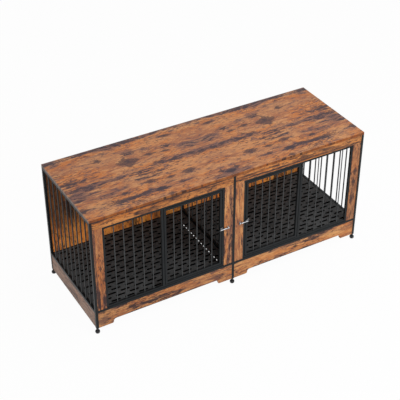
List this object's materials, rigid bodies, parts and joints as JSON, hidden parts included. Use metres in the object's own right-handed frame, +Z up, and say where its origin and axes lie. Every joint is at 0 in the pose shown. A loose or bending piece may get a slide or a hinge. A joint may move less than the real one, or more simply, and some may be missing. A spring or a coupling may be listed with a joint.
{
  "type": "double dog crate",
  "caption": "Double dog crate as a long low cabinet: printed brown boards on a black steel frame, barred bays with doors, slide bolts, slotted floors and levelling feet.",
  "frame": {"origin": "On the floor, under the centre of the overall box (the bolt handles stand proud at the front, the feet at the back).", "axes": "+X runs along the crate to the right seen from the doors, -Y faces the viewer at the doors, +Z is up."},
  "size_m": [1.813, 0.66, 0.785],
  "materials": {
    "printed_board": "satin printed foil",
    "black_steel": "satin powder coat",
    "zinc_steel": "zinc plated",
    "bright_chrome": "polished",
    "dark_grid": "speckled powder coat",
    "black_plastic": "fine matt",
    "foot_rubber": "matt"
  },
  "bodies": {
    "crate": {"top_panel": "printed_board", "stile_outer_left": "printed_board", "stile_inner_left": "printed_board", "front_rail_left": "printed_board", "front_skirt_left": "printed_board", "stile_outer_right": "printed_board", "stile_inner_right": "printed_board", "front_rail_right": "printed_board", "front_skirt_right": "printed_board", "side_skirt_left": "printed_board", "back_skirt_left": "printed_board", "back_panel_left": "printed_board", "side_skirt_right": "printed_board", "back_skirt_right": "printed_board", "back_panel_right": "printed_board", "centre_post_front": "black_steel", "centre_post_back": "black_steel", "divider_panel": "black_steel", "floor_ledge_front": "black_steel", "floor_ledge_back": "black_steel", "floor_support": "black_steel", "side_frame_left": "black_steel", "bottom_rail_front_left": "black_steel", "bottom_rail_back_left": "black_steel", "grille_frame_left": "black_steel", "side_frame_right": "black_steel", "bottom_rail_front_right": "black_steel", "bottom_rail_back_right": "black_steel", "grille_frame_right": "black_steel", "board_screws": "zinc_steel", "top_screws": "zinc_steel", "grille_screws": "zinc_steel", "divider_bolts": "zinc_steel", "rail_nuts": "zinc_steel", "rail_bolts": "zinc_steel", "keeper_screws": "bright_chrome", "keeper_left": "bright_chrome", "keeper_right": "bright_chrome", "foot_inserts": "black_plastic", "pivot_bushes_left": "black_plastic", "drip_tray_left": "black_plastic", "pivot_bushes_right": "black_plastic", "drip_tray_right": "black_plastic"},
    "left_door": {"door_left": "black_steel", "door_pivots_left": "zinc_steel", "latch_barrel_left": "bright_chrome"},
    "left_bolt": {"bolt_left": "bright_chrome"},
    "left_floor": {"floor_grid_left": "dark_grid"},
    "right_door": {"door_right": "black_steel", "door_pivots_right": "zinc_steel", "latch_barrel_right": "bright_chrome"},
    "right_bolt": {"bolt_right": "bright_chrome"},
    "right_floor": {"floor_grid_right": "dark_grid"},
    "foot_front_left_turn": {"foot_front_left": "foot_rubber"},
    "foot_front_centre_turn": {"foot_front_centre": "foot_rubber"},
    "foot_front_right_turn": {"foot_front_right": "foot_rubber"},
    "foot_back_left_turn": {"foot_back_left": "foot_rubber"},
    "foot_back_centre_turn": {"foot_back_centre": "foot_rubber"},
    "foot_back_right_turn": {"foot_back_right": "foot_rubber"}
  },
  "joints": [
    {"name": "left_door_hinge", "type": "hinge", "parent": "crate", "child": "left_door", "pos_m": [-0.447, -0.3025, 0.1745], "axis": [0, 0, -1], "range_deg": [0, 100]},
    {"name": "left_bolt_slide", "type": "slide", "parent": "left_door", "child": "left_bolt", "axis": [1, 0, 0], "range_m": [0, 0.016]},
    {"name": "left_floor_lift", "type": "slide", "parent": "crate", "child": "left_floor", "axis": [0, 0, 1], "range_m": [0, 0.06]},
    {"name": "right_door_hinge", "type": "hinge", "parent": "crate", "child": "right_door", "pos_m": [0.447, -0.3025, 0.1745], "axis": [0, 0, 1], "range_deg": [0, 100]},
    {"name": "right_bolt_slide", "type": "slide", "parent": "right_door", "child": "right_bolt", "axis": [-1, 0, 0], "range_m": [0, 0.016]},
    {"name": "right_floor_lift", "type": "slide", "parent": "crate", "child": "right_floor", "axis": [0, 0, 1], "range_m": [0, 0.06]},
    {"name": "foot_front_left_screw", "type": "hinge", "parent": "crate", "child": "foot_front_left_turn", "pos_m": [-0.8925, -0.304, 0.0317], "axis": [0, 0, 1], "continuous": true},
    {"name": "foot_front_centre_screw", "type": "hinge", "parent": "crate", "child": "foot_front_centre_turn", "pos_m": [0, -0.304, 0.0317], "axis": [0, 0, 1], "continuous": true},
    {"name": "foot_front_right_screw", "type": "hinge", "parent": "crate", "child": "foot_front_right_turn", "pos_m": [0.8925, -0.304, 0.0317], "axis": [0, 0, 1], "continuous": true},
    {"name": "foot_back_left_screw", "type": "hinge", "parent": "crate", "child": "foot_back_left_turn", "pos_m": [-0.8925, 0.316, 0.0317], "axis": [0, 0, 1], "continuous": true},
    {"name": "foot_back_centre_screw", "type": "hinge", "parent": "crate", "child": "foot_back_centre_turn", "pos_m": [0, 0.316, 0.0317], "axis": [0, 0, 1], "continuous": true},
    {"name": "foot_back_right_screw", "type": "hinge", "parent": "crate", "child": "foot_back_right_turn", "pos_m": [0.8925, 0.316, 0.0317], "axis": [0, 0, 1], "continuous": true}
  ]
}
